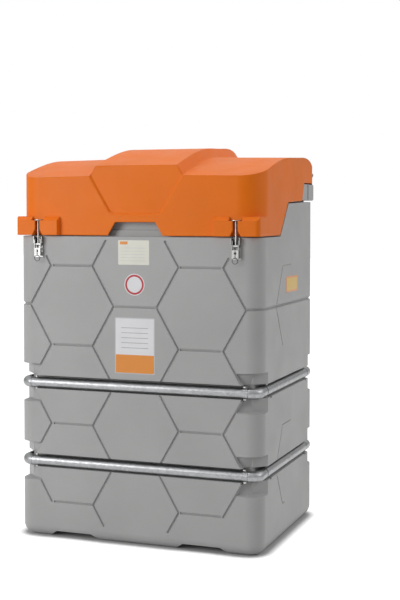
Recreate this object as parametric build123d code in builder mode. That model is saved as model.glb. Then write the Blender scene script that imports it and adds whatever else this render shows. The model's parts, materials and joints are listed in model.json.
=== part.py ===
"""Double-walled waste oil tank with a hinged weather lid, for outdoor use.

Millimetres, +Z up, the front faces -Y. The origin is on the floor, under the middle of the body.
"""

import os
from math import atan2, degrees, hypot

from build123d import *

# Outer container: a moulded shell with rounded corners.
BODY_WIDTH = 1160
BODY_DEPTH = 850
BODY_CORNER_RADIUS = 69
BODY_BOTTOM_ROUNDING = 50
WALL = 12
RING_WALL = 10
FLOOR_TOP = 44
CAVITY_NARROW_RADIUS = 16
SHOULDER_HEIGHT = 1366
REAR_SHOULDER_HEIGHT = 1513
REAR_SHOULDER_RISE = 9
SHOULDER_PLATE = 12

# Step in the rim, where the side goes up from the front shoulder to the rear shoulder.
STEP_START_Y = -140
STEP_END_Y = -12

# Feet: two channels run from front to back between them.
CHANNEL_INNER_X = 178
CHANNEL_OUTER_X = 435
CHANNEL_HEIGHT = 28
CHANNEL_SLOPE = 43

# Honeycomb relief: hexagons with a flat top, standing in rows.
HEX_SIDE = 205.6
HEX_HALF_ROW = 178.6
HEX_TOP_Z = 1235.4
GROOVE_DEPTH = 8
GROOVE_FLOOR_WIDTH = 4
GROOVE_FLANK_ANGLE = 26
LEVEL_GROOVE_DEPTH = 7
LEVEL_GROOVE_ABOVE = 8
LEVEL_GROOVE_FOOT = 3
LEVEL_GROOVE_BELOW = 6
SIDE_LINE_DEPTH = 3
SIDE_LINE_WIDTH = 5
BELT_GROOVE_LEVEL = 1
BELT_GROOVE_DEPTH = 10
BELT_GROOVE_ABOVE = 13
BELT_GROOVE_BELOW = 5

# Tube rings, flush with the walls in a groove of their own.
TUBE_DIAMETER = 48.3
TUBE_WALL = 3.2
RING_BEND_RADIUS = 36
RING_GROOVE_ABOVE = 35
RING_GROOVE_BELOW = 25.5
RING_LEVELS = {"upper": 3, "lower": 5}
SPIGOT_PAST_BOLT = 20
SPIGOT_FIT = 0.4
BOLT_DIAMETER = 8
BOLT_HEAD_WIDTH = 13
BOLT_HEAD_HEIGHT = 5.5
BOLT_ROOM = 2.5

# Joints and bolts of the tubes, as distances from the corner of the ring's centre line.
FRONT_JOINT = 38
FRONT_JOINT_GAP = 1.5
FRONT_BOLT = 58
SIDE_JOINT = 82
SIDE_JOINT_GAP = 7
SIDE_BOLT = 120

# Corner recesses round the elbows of the rings.
RECESS_HALF_HEIGHT = 88
RECESS_LEDGE = 9
RECESS_INSET = 15
RECESS_FLOOR_INSET = 24
RECESS_FLOOR_HALF_HEIGHT = 31
RECESS_CORNER_RADIUS = 132
RECESS_END_Y = 326
RECESS_SLOPE = 51

# Neck: the upstand of the rim inside the lid.
NECK_HALF_WIDTH = 548
NECK_FRONT_Y = -384
NECK_REAR_Y = 300
NECK_WALL = 8
NECK_CORNER_RADIUS = 40
NECK_STEP_LAG = 55
NECK_HEIGHT = 1435
NECK_LEDGE_HEIGHT = 1395
NECK_LEDGE_DEPTH = 8

# Inner tank.
TANK_WIDTH = 1030
TANK_DEPTH = 720
TANK_CORNER_RADIUS = 60
TANK_WALL = 10
TANK_TOP = 1310
DECK_THICKNESS = 8

# Rear rail that carries the lid's hinges.
RAIL_FRONT_Y = 267
RAIL_FRONT_LEAN = 36
RAIL_GAP = 6
RAIL_REAR_Y = 427
RAIL_BOTTOM = 1529
RAIL_TOP = 1607
RAIL_ROUNDING = 8
RAIL_FOOT_MARGIN = 22
RAIL_FOOT_GAP = 4
RAIL_STEP_Y = 328
RAIL_STEP_DEPTH = 4

# Lid: a shell with two wings and a raised middle.
LID_WIDTH = 1156
LID_CORNER_RADIUS = 105
LID_REAR_CORNER_RADIUS = 24
LID_WALL = 5
LID_EDGE = 1371
LID_STEP_EDGE = 1518
LID_REAR_EDGE = 1612
LID_FRONT_TOP = 1634
LID_TOP = 1732
LID_SLOPE_LENGTH = 200
LID_SLOPE_FALL = 42
LID_CREST_FALL = 7
LID_FORM_BOTTOM = 1210
HUMP_RISE = 43
HUMP_BASE_HALF_WIDTH = 221
HUMP_TOP_HALF_WIDTH = 194
WING_FALL = 8
PANEL_RECESS = 8
PANEL_FLANK_ANGLE = 40
PANEL_BOTTOM_HALF_WIDTH = 120
PANEL_BOTTOM_Z = 1463
PANEL_CORNER_RADIUS = 35
PANEL_TOP_MARGIN = 2
NOTCH_TOP_HALF_WIDTH = 95
NOTCH_BOTTOM_HALF_WIDTH = 131
NOTCH_TOP_Z = 1430
NOTCH_REACH = 40

# Rounding of the lid's roof at the back: distance in from the back wall, and fall from the top.
LID_REAR_CURVE = ((81, 4), (27, 27), (0, 64.8))

# The roof's line runs on past the front wall and the back wall, and falls this far before it ends.
LID_FRONT_RUNOUT_FALL = 36.75
LID_REAR_RUNOUT_FALL = 124.2

# Latch blocks, moulded on the lid's front corners.
BLOCK_PROUD = 22
BLOCK_INNER_X = 364
BLOCK_FLANK = 6
BLOCK_ROOT = 10
BLOCK_SIDE_REACH = 60
BLOCK_TOP = 1438
BLOCK_LEDGE_TOP = 1455
BLOCK_REAR_Y = -330
BLOCK_CORNER_RADIUS = 20
SLOT_WIDTH = 22
SLOT_FLARE_WIDTH = 52
SLOT_FLARE_HEIGHT = 26
SLOT_FLARE_DEPTH = 37
SLOT_DEPTH_TOP = 24
SLOT_DEPTH_BOTTOM = 43
SLOT_PAD_EXTRA = 4
SLOT_CUT_REACH = 5

# Toggle latches.
LATCH_X = 470
LATCH_PIVOT_Y = -437
LATCH_PIVOT_Z = 1348
LATCH_ROD_PIVOT_Z = 1330
LATCH_PIN_DIAMETER = 5
LATCH_PIN_PROUD = 1
LATCH_FIT = 0.4
BASE_WIDTH = 40
BASE_BOTTOM = 1272
BASE_TOP = 1365
BASE_THICKNESS = 2
BASE_EAR_BELOW_PIVOT = 14
LEVER_WIDTH = 30
LEVER_THICKNESS = 2
LEVER_BOTTOM = 1278
LEVER_WEB_TOP = 1313
LEVER_END_RADIUS = 8
LEVER_REAR = 5
LEVER_HOLE_DIAMETER = 11
LEVER_HOLE_ABOVE_MIDDLE = 4
ROD_DIAMETER = 8
ROD_EYE_DIAMETER = 11
ROD_EYE_GAP = 1
ROD_TOP = 1437
KEEPER_WIDTH = 58
KEEPER_DEPTH = 24
KEEPER_THICKNESS = 2.5
KEEPER_SEAT_MARGIN = 1
RING_DIAMETER = 28
RING_WIRE = 3

# Hinges on the back.
HINGE_X = 482
HINGE_LENGTH = 180
HINGE_UPPER_LEAF_LENGTH = 140
HINGE_AXIS_Y = 437
HINGE_AXIS_Z = 1652
HINGE_PIN_DIAMETER = 8
HINGE_PIN_PROUD = 2
HINGE_KNUCKLE_DIAMETER = 18
HINGE_LEAF = 3
HINGE_TONGUE = 5
HINGE_UPPER_LEAF = 2
HINGE_LEAF_MARGIN = 10
HINGE_TONGUE_BELOW = 6
HINGE_UPPER_LEAF_BOTTOM = 12
HINGE_UPPER_LEAF_TOP = 24
HINGE_KNUCKLES = 3
HINGE_FIT = 0.4
HINGE_KNUCKLE_GAP = 1

# Fittings on the inner tank's deck.
FUNNEL_X = -190
FUNNEL_Y = -40
FUNNEL_DIAMETER = 380
FUNNEL_NECK_DIAMETER = 120
FUNNEL_NECK_HEIGHT = 40
FUNNEL_CONE_HEIGHT = 60
FUNNEL_HEIGHT = 150
FUNNEL_WALL = 4
STRAINER_DIAMETER = 250
STRAINER_THICKNESS = 3
STRAINER_FIT = 0.3
STRAINER_HOLE_DIAMETER = 24
STRAINER_HOLES = ((6, 40), (12, 85))

# Turned fittings: place on the deck, then height and diameter of each step from the deck upwards.
GAUGE_PLACE = (180, -170)
GAUGE_STEPS = ((20, 60), (40, 40), (30, 70))
SUCTION_PLACE = (360, 60)
SUCTION_STEPS = ((12, 110), (48, 60), (50, 76))
SUCTION_ARM = (12, 16, 38)
SUCTION_ARM_BOTTOM = 62
SUCTION_ARM_SUNK = 4
VENT_PLACE = (180, 120)
VENT_STEPS = ((70, 48), (35, 80))
LEAK_GAUGE_PLACE = (400, -190)
LEAK_GAUGE_STEPS = ((45, 34), (40, 26))

# Sizes that follow from those above.
HALF_WIDTH = BODY_WIDTH / 2
HALF_DEPTH = BODY_DEPTH / 2
TUBE_RADIUS = TUBE_DIAMETER / 2
RING_HALF_WIDTH = HALF_WIDTH - TUBE_RADIUS
RING_HALF_DEPTH = HALF_DEPTH - TUBE_RADIUS
LID_CREST_Y = HALF_DEPTH / 3
DECK_TOP = TANK_TOP + DECK_THICKNESS

# How far cuts and joined pieces run past a face, round the body, and past the whole tank.
OVERRUN = 1
BODY_OVERRUN = 5
BIG = 2400


def level(k):
    """Height of a line of the honeycomb, counted in half rows from the top one."""
    return HEX_TOP_Z - k * HEX_HALF_ROW


def prism(width, depth, radius, bottom, top, mode=Mode.ADD):
    """Upright block with rounded corners."""
    with BuildSketch(Plane.XY.offset(bottom)) as outline:
        RectangleRounded(width, depth, radius)
    extrude(outline.sketch, amount=top - bottom, mode=mode)


def body_slice(bottom, top):
    """Slice through the body that reaches a little past its walls."""
    width = BODY_WIDTH + 2 * BODY_OVERRUN
    depth = BODY_DEPTH + 2 * BODY_OVERRUN
    prism(width, depth, BODY_CORNER_RADIUS, bottom, top)


def body_taper(bottom, top, mode=Mode.ADD):
    """Block with the body's plan; bottom and top are (height, distance moved in, corner radius)."""
    sections = []
    for z, inset, radius in (bottom, top):
        with BuildSketch(Plane.XY.offset(z)) as outline:
            RectangleRounded(BODY_WIDTH - 2 * inset, BODY_DEPTH - 2 * inset, radius)
        sections.append(outline.sketch)
    loft(sections, ruled=True, mode=mode)


def block(x_range, y_range, z_range, mode=Mode.ADD):
    """Plain box between given limits."""
    size = [high - low for low, high in (x_range, y_range, z_range)]
    middle = [(high + low) / 2 for low, high in (x_range, y_range, z_range)]
    with Locations(tuple(middle)):
        Box(*size, mode=mode)


def across(points, half_length, mode=Mode.ADD, middle=0):
    """Block with a Y-Z outline, running along X."""
    with BuildSketch(Plane.YZ.offset(middle - half_length)) as outline:
        Polygon(*points, align=None)
    extrude(outline.sketch, amount=2 * half_length, mode=mode)


def along(points, front, back, mode=Mode.ADD):
    """Block with an X-Z outline, running along Y."""
    plane = Plane(origin=(0, front, 0), x_dir=(1, 0, 0), z_dir=(0, -1, 0))
    with BuildSketch(plane) as outline:
        Polygon(*points, align=None)
    extrude(outline.sketch, amount=-(back - front), mode=mode)


def cylinder(start, end, diameter, mode=Mode.ADD):
    """Round bar from one point to another."""
    direction = Vector(*end) - Vector(*start)
    with BuildSketch(Plane(origin=start, z_dir=direction)) as outline:
        Circle(diameter / 2)
    extrude(outline.sketch, amount=direction.length, mode=mode)


def across_x(start_x, end_x, y, z, diameter, mode=Mode.ADD):
    """Round bar that runs along X."""
    cylinder((start_x, y, z), (end_x, y, z), diameter, mode)


def level_lines():
    """Level honeycomb lines of the front, as pairs of (hexagon sides from the middle, level)."""
    lines = [((-0.5, 1), (0.5, 1))]
    for side in (-1, 1):
        for k in (0, 2, 4, 6):
            lines.append(((side * 1.03, k), (side * 1.95, k)))
    return lines


def slanting_lines():
    """Slanting honeycomb lines of the front, as pairs of (hexagon sides from the middle, level)."""
    lines = []
    for side in (-1, 1):
        for k in (1, 3, 5):
            lines.append(((side * 1.0, k - 1), (side * 0.5, k)))
            lines.append(((side * 1.0, k + 1), (side * 0.5, k)))
            lines.append(((side * 2.0, k - 1), (side * 2.5, k)))
            lines.append(((side * 2.0, k + 1), (side * 2.5, k)))
        lines.append(((side * 1.0, 0), (side * 0.69, -0.62)))
        lines.append(((side * 2.0, 0), (side * 2.11, -0.22)))
        lines.append(((side * 1.0, 6), (side * 0.75, 6.5)))
    return lines


def side_lines(front):
    """Thin lines of the half-seen hexagons on a side wall; front says which way the front lies."""
    lines = []
    for k in (1, 5):
        lines.append(((front * 0.5, k - 1), (front * 1.0, k)))
        lines.append(((front * 1.0, k), (front * 0.5, k + 1)))
    for k in (0, 4):
        lines.append(((front * 0.5, k), (front * -0.1, k)))
    lines.append(((front * 0.5, 6), (front * 0.35, 6)))
    return lines


def cut_lines(lines, plane, width, depth, taper):
    """Cuts the lines into the wall that the plane lies on."""
    floor = plane.offset(-depth)
    for (x0, k0), (x1, k1) in lines:
        run = (x1 - x0) * HEX_SIDE
        rise = level(k1) - level(k0)
        with BuildSketch(floor) as outline:
            with Locations(((x0 + x1) / 2 * HEX_SIDE, (level(k0) + level(k1)) / 2)):
                SlotCenterToCenter(hypot(run, rise), width, rotation=degrees(atan2(rise, run)))
        extrude(outline.sketch, amount=depth + OVERRUN, taper=-taper, mode=Mode.SUBTRACT)


def cut_level_lines(lines, wall):
    """Cuts level lines into the wall at a given y, as wedges that are deepest near their lower edge."""
    out = OVERRUN if wall > 0 else -OVERRUN
    inward = -1 if wall > 0 else 1
    for (x0, k), (x1, _) in lines:
        z = level(k)
        across(
            [
                (wall + out, z + LEVEL_GROOVE_ABOVE),
                (wall + inward * LEVEL_GROOVE_DEPTH, z - LEVEL_GROOVE_FOOT),
                (wall + out, z - LEVEL_GROOVE_BELOW),
            ],
            abs(x1 - x0) / 2 * HEX_SIDE,
            Mode.SUBTRACT,
            (x0 + x1) / 2 * HEX_SIDE,
        )


# Walls of the body, as planes that look outwards.
FRONT_PLANE = Plane(origin=(0, -HALF_DEPTH, 0), x_dir=(1, 0, 0), z_dir=(0, -1, 0))
BACK_PLANE = Plane(origin=(0, HALF_DEPTH, 0), x_dir=(-1, 0, 0), z_dir=(0, 1, 0))
RIGHT_PLANE = Plane(origin=(HALF_WIDTH, 0, 0), x_dir=(0, 1, 0), z_dir=(1, 0, 0))
LEFT_PLANE = Plane(origin=(-HALF_WIDTH, 0, 0), x_dir=(0, -1, 0), z_dir=(-1, 0, 0))


def recess_core():
    """What stays behind the corner recesses: a sloped floor, then a short ledge out to the wall."""
    height = RECESS_HALF_HEIGHT
    ledge = height - RECESS_LEDGE
    floor = RECESS_FLOOR_HALF_HEIGHT
    floor_section = (RECESS_FLOOR_INSET, RECESS_CORNER_RADIUS - RECESS_FLOOR_INSET)
    ledge_section = (RECESS_INSET, RECESS_CORNER_RADIUS - RECESS_INSET)
    mouth_section = (-OVERRUN, BODY_CORNER_RADIUS + OVERRUN)
    with BuildPart() as core:
        body_taper((-floor, *floor_section), (floor, *floor_section))
        for side in (-1, 1):
            body_taper((side * floor, *floor_section), (side * ledge, *ledge_section))
            body_taper((side * ledge, *ledge_section), (side * height, *mouth_section))
    return core.part


def corner_recesses():
    """Material that the four corner recesses of one ring take away."""
    with BuildPart() as cut:
        body_slice(-RECESS_HALF_HEIGHT, RECESS_HALF_HEIGHT)
        add(recess_core(), mode=Mode.SUBTRACT)

        # The recesses end on the sides in a slope, and on the front along the honeycomb.
        out = RECESS_FLOOR_INSET
        with BuildSketch(Plane.XY.offset(-BIG / 2)) as middle:
            for sx in (-1, 1):
                Polygon(
                    (0, -RECESS_END_Y - HALF_WIDTH),
                    (sx * (HALF_WIDTH + out), -RECESS_END_Y + out),
                    (sx * (HALF_WIDTH + out), RECESS_END_Y - out),
                    (0, RECESS_END_Y + HALF_WIDTH),
                    align=None,
                )
            Rectangle(BODY_WIDTH * 2, 2 * (HALF_DEPTH - 2 * out), mode=Mode.INTERSECT)
        extrude(middle.sketch, amount=BIG, mode=Mode.SUBTRACT)
        tip = 2.5 * HEX_SIDE
        base = tip - RECESS_SLOPE
        height = RECESS_HALF_HEIGHT + OVERRUN
        upper = [(tip, 0), (base, height), (-base, height)]
        lower = [(-tip, 0), (-base, -height), (base, -height)]
        along(upper + lower, -BIG, BIG, Mode.SUBTRACT)
    return cut.part


def ring_groove():
    """Material that the groove of one ring takes away, with room for the lower bolt heads."""
    inner = RING_BEND_RADIUS - TUBE_RADIUS
    low = -RING_GROOVE_BELOW
    room_low = -TUBE_RADIUS - BOLT_HEAD_HEIGHT - BOLT_ROOM
    room = BOLT_HEAD_WIDTH / 2 + BOLT_ROOM
    reach = TUBE_RADIUS + BOLT_ROOM
    with BuildPart() as cut:
        body_slice(low, RING_GROOVE_ABOVE)
        prism(
            BODY_WIDTH - 2 * TUBE_DIAMETER,
            BODY_DEPTH - 2 * TUBE_DIAMETER,
            inner,
            low,
            RING_GROOVE_ABOVE,
            Mode.SUBTRACT,
        )
        for sx in (-1, 1):
            for sy in (-1, 1):
                x = sx * (RING_HALF_WIDTH - FRONT_BOLT)
                y = sy * RING_HALF_DEPTH
                outside = sorted((y - sy * room, y + sy * reach))
                block((x - room, x + room), outside, (room_low, low))
                x = sx * RING_HALF_WIDTH
                y = sy * (RING_HALF_DEPTH - SIDE_BOLT)
                outside = sorted((x - sx * room, x + sx * reach))
                block(outside, (y - room, y + room), (room_low, low))
    return cut.part


def belt_groove():
    """Material that the V-shaped groove round the sides and corners takes away."""
    depth = BELT_GROOVE_DEPTH
    outer = (-OVERRUN, BODY_CORNER_RADIUS + OVERRUN)
    inner = (depth, BODY_CORNER_RADIUS - depth)
    with BuildPart() as cut:
        body_slice(-BELT_GROOVE_BELOW, BELT_GROOVE_ABOVE)
        body_taper((-BELT_GROOVE_BELOW, *outer), (0, *inner), Mode.SUBTRACT)
        body_taper((0, *inner), (BELT_GROOVE_ABOVE, *outer), Mode.SUBTRACT)
        front_end = 2.5 * HEX_SIDE
        block((-front_end, front_end), (-BIG, BIG), (-BIG, BIG), Mode.SUBTRACT)
    return cut.part


def cavity():
    """Hollow of the outer container below the rim."""
    narrow = TUBE_DIAMETER + RING_WALL
    recess = RECESS_FLOOR_INSET + RING_WALL
    with BuildPart() as hollow:
        prism(
            BODY_WIDTH - 2 * narrow,
            BODY_DEPTH - 2 * narrow,
            CAVITY_NARROW_RADIUS,
            FLOOR_TOP,
            SHOULDER_HEIGHT - SHOULDER_PLATE,
        )
        marks = [FLOOR_TOP]
        for k in sorted(RING_LEVELS.values(), reverse=True):
            marks.append(level(k) - RECESS_HALF_HEIGHT - WALL)
            marks.append(level(k) + RECESS_HALF_HEIGHT + WALL)
        marks.append(SHOULDER_HEIGHT - SHOULDER_PLATE)
        for low, high in zip(marks[::2], marks[1::2]):
            prism(BODY_WIDTH - 2 * WALL, BODY_DEPTH - 2 * WALL, BODY_CORNER_RADIUS - WALL, low, high)
        for k in RING_LEVELS.values():
            for sign in (-1, 1):
                near = level(k) + sign * (RING_GROOVE_ABOVE + WALL)
                far = level(k) + sign * (RECESS_HALF_HEIGHT + WALL)
                prism(
                    BODY_WIDTH - 2 * recess,
                    BODY_DEPTH - 2 * recess,
                    RECESS_CORNER_RADIUS - recess,
                    min(near, far),
                    max(near, far),
                )
    return hollow.part


def rear_room():
    """Hollow under the rear shoulder."""
    bottom = SHOULDER_HEIGHT - SHOULDER_PLATE
    top = REAR_SHOULDER_HEIGHT - SHOULDER_PLATE
    with BuildPart() as room:
        prism(BODY_WIDTH - 2 * WALL, BODY_DEPTH - 2 * WALL, BODY_CORNER_RADIUS - WALL, bottom, top)
        across(
            [
                (STEP_START_Y, bottom),
                (STEP_END_Y + SHOULDER_PLATE, top),
                (BIG, top),
                (BIG, bottom),
            ],
            BIG / 2,
            Mode.INTERSECT,
        )
    return room.part


def rim_cut():
    """Space above the front shoulder, which the lid's skirt fills."""
    with BuildPart() as cut:
        across(
            [
                (-BIG, SHOULDER_HEIGHT),
                (STEP_START_Y, SHOULDER_HEIGHT),
                (STEP_END_Y, REAR_SHOULDER_HEIGHT),
                (NECK_REAR_Y, REAR_SHOULDER_HEIGHT + REAR_SHOULDER_RISE),
                (BIG, REAR_SHOULDER_HEIGHT + REAR_SHOULDER_RISE),
                (BIG, BIG),
                (-BIG, BIG),
            ],
            BIG / 2,
        )
    return cut.part


def neck_outline(offset, bottom, top, mode=Mode.ADD):
    """Block with the plan of the neck, moved in by the offset."""
    width = 2 * (NECK_HALF_WIDTH - offset)
    depth = NECK_REAR_Y - NECK_FRONT_Y - 2 * offset
    middle = (NECK_REAR_Y + NECK_FRONT_Y) / 2
    with BuildSketch(Plane.XY.offset(bottom)) as outline:
        with Locations((0, middle)):
            RectangleRounded(width, depth, NECK_CORNER_RADIUS - offset)
    extrude(outline.sketch, amount=top - bottom, mode=mode)


def build_container():
    """Grey shell with the relief, the ring grooves, the feet and the neck."""
    with BuildPart() as container:
        top = REAR_SHOULDER_HEIGHT + REAR_SHOULDER_RISE
        prism(BODY_WIDTH, BODY_DEPTH, BODY_CORNER_RADIUS, 0, top + OVERRUN)
        fillet(container.faces().sort_by(Axis.Z)[0].edges(), BODY_BOTTOM_ROUNDING)
        add(rim_cut(), mode=Mode.SUBTRACT)

        # Hollow, and the room under the rear shoulder.
        add(cavity(), mode=Mode.SUBTRACT)
        add(rear_room(), mode=Mode.SUBTRACT)

        # Neck with its opening.
        neck_outline(0, SHOULDER_HEIGHT - SHOULDER_PLATE, top)
        across(
            [
                (-BIG, NECK_HEIGHT),
                (STEP_START_Y + NECK_STEP_LAG, NECK_HEIGHT),
                (STEP_END_Y, REAR_SHOULDER_HEIGHT),
                (NECK_REAR_Y, top),
                (NECK_REAR_Y, BIG),
                (-BIG, BIG),
            ],
            BIG / 2,
            Mode.SUBTRACT,
        )
        block(
            (-NECK_HALF_WIDTH + NECK_CORNER_RADIUS, NECK_HALF_WIDTH - NECK_CORNER_RADIUS),
            (NECK_FRONT_Y - NECK_LEDGE_DEPTH, NECK_FRONT_Y + OVERRUN),
            (SHOULDER_HEIGHT - OVERRUN, NECK_LEDGE_HEIGHT),
        )
        neck_outline(NECK_WALL, SHOULDER_HEIGHT - 2 * SHOULDER_PLATE, BIG, Mode.SUBTRACT)

        # Rings, their corner recesses and the belt groove.
        for k in RING_LEVELS.values():
            for cut in (corner_recesses(), ring_groove()):
                add(cut.moved(Location((0, 0, level(k)))), mode=Mode.SUBTRACT)
        belt_z = level(BELT_GROOVE_LEVEL)
        add(belt_groove().moved(Location((0, 0, belt_z))), mode=Mode.SUBTRACT)

        # Feet.
        for side in (-1, 1):
            along(
                [
                    (side * CHANNEL_INNER_X, -OVERRUN),
                    (side * CHANNEL_INNER_X, 0),
                    (side * (CHANNEL_INNER_X + CHANNEL_SLOPE), CHANNEL_HEIGHT),
                    (side * (CHANNEL_OUTER_X - CHANNEL_SLOPE), CHANNEL_HEIGHT),
                    (side * CHANNEL_OUTER_X, 0),
                    (side * CHANNEL_OUTER_X, -OVERRUN),
                ],
                -BIG / 2,
                BIG / 2,
                Mode.SUBTRACT,
            )

        # Relief.
        for plane, wall in ((FRONT_PLANE, -HALF_DEPTH), (BACK_PLANE, HALF_DEPTH)):
            cut_lines(slanting_lines(), plane, GROOVE_FLOOR_WIDTH, GROOVE_DEPTH, GROOVE_FLANK_ANGLE)
            cut_level_lines(level_lines(), wall)
        for plane, front in ((RIGHT_PLANE, -1), (LEFT_PLANE, 1)):
            cut_lines(side_lines(front), plane, SIDE_LINE_WIDTH, SIDE_LINE_DEPTH, 0)
    return container.part


def build_tank():
    """Open inner tank; the deck closes it."""
    with BuildPart() as tank:
        prism(TANK_WIDTH, TANK_DEPTH, TANK_CORNER_RADIUS, FLOOR_TOP, TANK_TOP)
        prism(
            TANK_WIDTH - 2 * TANK_WALL,
            TANK_DEPTH - 2 * TANK_WALL,
            TANK_CORNER_RADIUS - TANK_WALL,
            FLOOR_TOP + TANK_WALL,
            TANK_TOP + OVERRUN,
            Mode.SUBTRACT,
        )
    return tank.part


def build_deck():
    """Plate on the inner tank, with a hole under the funnel."""
    with BuildPart() as deck:
        prism(TANK_WIDTH, TANK_DEPTH, TANK_CORNER_RADIUS, TANK_TOP, DECK_TOP)
        with Locations((FUNNEL_X, FUNNEL_Y, TANK_TOP)):
            Cylinder(FUNNEL_NECK_DIAMETER / 2 - FUNNEL_WALL, 3 * DECK_THICKNESS, mode=Mode.SUBTRACT)
    return deck.part


def build_rail():
    """Rounded bar behind the lid, on a foot that stands on the rear shoulder."""
    with BuildPart() as rail:
        across(
            [
                (RAIL_FRONT_Y - RAIL_FRONT_LEAN, RAIL_BOTTOM),
                (RAIL_FRONT_Y, RAIL_TOP),
                (RAIL_REAR_Y, RAIL_TOP),
                (RAIL_REAR_Y, RAIL_BOTTOM),
            ],
            HALF_WIDTH,
        )
        fillet(rail.edges(), RAIL_ROUNDING)
        for side in (-1, 1):
            step = sorted((side * (HALF_WIDTH - RAIL_STEP_DEPTH), side * (HALF_WIDTH + OVERRUN)))
            heights = (RAIL_BOTTOM - OVERRUN, RAIL_TOP + OVERRUN)
            block(step, (0, RAIL_STEP_Y), heights, Mode.SUBTRACT)
        block(
            (-HALF_WIDTH + 2 * RAIL_FOOT_MARGIN, HALF_WIDTH - 2 * RAIL_FOOT_MARGIN),
            (NECK_REAR_Y + RAIL_FOOT_GAP, HALF_DEPTH - RAIL_FOOT_MARGIN),
            (REAR_SHOULDER_HEIGHT + REAR_SHOULDER_RISE, RAIL_BOTTOM + OVERRUN),
        )
    return rail.part


def lid_section(x, lift, inset):
    """Y-Z face of the lid's form at one place along its width; it reaches past both walls."""
    rise = lift - inset
    front = -HALF_DEPTH - LID_CORNER_RADIUS
    rear = HALF_DEPTH + LID_REAR_CORNER_RADIUS
    front_end = (front, LID_FRONT_TOP - LID_FRONT_RUNOUT_FALL + rise)
    rear_end = (rear, LID_TOP - LID_REAR_RUNOUT_FALL + rise)
    with BuildSketch(Plane.YZ.offset(x)) as section:
        with BuildLine():
            Spline(
                front_end,
                (-HALF_DEPTH, LID_FRONT_TOP + rise),
                (-HALF_DEPTH + LID_SLOPE_LENGTH, LID_TOP - LID_SLOPE_FALL + rise),
                (-HALF_DEPTH + 2 * LID_SLOPE_LENGTH, LID_TOP - LID_CREST_FALL + rise),
                (LID_CREST_Y, LID_TOP + rise),
                *[(HALF_DEPTH - distance, LID_TOP - fall + rise) for distance, fall in LID_REAR_CURVE],
                rear_end,
            )
            Polyline(rear_end, (rear, LID_FORM_BOTTOM), (front, LID_FORM_BOTTOM), front_end)
        make_face()
    return section.sketch


def lid_form(inset):
    """Solid form of the lid's outside, or of its hollow when moved in by the inset."""
    stations = [
        (-HALF_WIDTH - LID_CORNER_RADIUS, -WING_FALL),
        (-HUMP_BASE_HALF_WIDTH + inset, 0),
        (-HUMP_TOP_HALF_WIDTH + inset, HUMP_RISE),
        (HUMP_TOP_HALF_WIDTH - inset, HUMP_RISE),
        (HUMP_BASE_HALF_WIDTH - inset, 0),
        (HALF_WIDTH + LID_CORNER_RADIUS, -WING_FALL),
    ]
    with BuildPart() as form:
        for (x0, lift0), (x1, lift1) in zip(stations, stations[1:]):
            sections = [lid_section(x0, lift0, inset), lid_section(x1, lift1, inset)]
            loft(sections, ruled=True)
        half = LID_WIDTH / 2 - inset
        front = -HALF_DEPTH + inset
        rear = HALF_DEPTH - inset
        with BuildSketch(Plane.XY.offset(LID_FORM_BOTTOM - OVERRUN)) as plan:
            with BuildLine():
                Polyline((-half, front), (half, front), (half, rear), (-half, rear), close=True)
            make_face()
            fillet(plan.vertices().group_by(Axis.Y)[0], LID_CORNER_RADIUS - inset)
            fillet(plan.vertices().group_by(Axis.Y)[-1], LID_REAR_CORNER_RADIUS - inset)
        extrude(plan.sketch, amount=BIG, mode=Mode.INTERSECT)
    return form.part


def lid_underside():
    """Everything below the lid's lower edge."""
    with BuildPart() as below:
        across(
            [
                (-BIG, LID_EDGE),
                (STEP_START_Y, LID_EDGE),
                (STEP_END_Y, LID_STEP_EDGE),
                (RAIL_FRONT_Y - RAIL_FRONT_LEAN - RAIL_GAP, LID_STEP_EDGE + REAR_SHOULDER_RISE),
                (RAIL_FRONT_Y - RAIL_GAP, LID_REAR_EDGE),
                (BIG, LID_REAR_EDGE),
                (BIG, 0),
                (-BIG, 0),
            ],
            BIG / 2,
        )
    return below.part


def add_latch_blocks():
    """Blocks on the lid's front corners, with a ledge that slopes down to the front."""
    front = -HALF_DEPTH
    for side in (-1, 1):
        outer_x = side * LID_WIDTH / 2
        with BuildSketch(Plane.XY.offset(LID_EDGE)) as plan:
            Polygon(
                (side * BLOCK_INNER_X, front + BLOCK_ROOT),
                (side * (BLOCK_INNER_X + BLOCK_FLANK), front - BLOCK_PROUD),
                (outer_x, front - BLOCK_PROUD),
                (outer_x, BLOCK_REAR_Y),
                (outer_x - side * BLOCK_SIDE_REACH, BLOCK_REAR_Y),
                align=None,
            )
            corner = plan.vertices().sort_by_distance((outer_x, front - BLOCK_PROUD))[0]
            fillet(corner, BLOCK_CORNER_RADIUS)
        extrude(plan.sketch, amount=BLOCK_LEDGE_TOP - LID_EDGE)
    across(
        [
            (front, BLOCK_LEDGE_TOP),
            (front - 2 * BLOCK_PROUD, 2 * BLOCK_TOP - BLOCK_LEDGE_TOP),
            (front - 2 * BLOCK_PROUD, BIG),
            (front, BIG),
        ],
        BIG / 2,
        Mode.SUBTRACT,
    )


def cut_front_panel():
    """Shallow recess in the lid's front that runs up into the raised middle."""
    edge = HUMP_BASE_HALF_WIDTH + PANEL_TOP_MARGIN
    with BuildSketch(FRONT_PLANE) as panel:
        Polygon(
            (-edge, LID_FRONT_TOP),
            (-edge, LID_TOP),
            (edge, LID_TOP),
            (edge, LID_FRONT_TOP),
            (PANEL_BOTTOM_HALF_WIDTH, PANEL_BOTTOM_Z),
            (-PANEL_BOTTOM_HALF_WIDTH, PANEL_BOTTOM_Z),
            align=None,
        )
        fillet(panel.vertices().group_by(Axis.Z)[0], PANEL_CORNER_RADIUS)
    extrude(panel.sketch, amount=-PANEL_RECESS, taper=PANEL_FLANK_ANGLE, mode=Mode.SUBTRACT)


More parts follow.
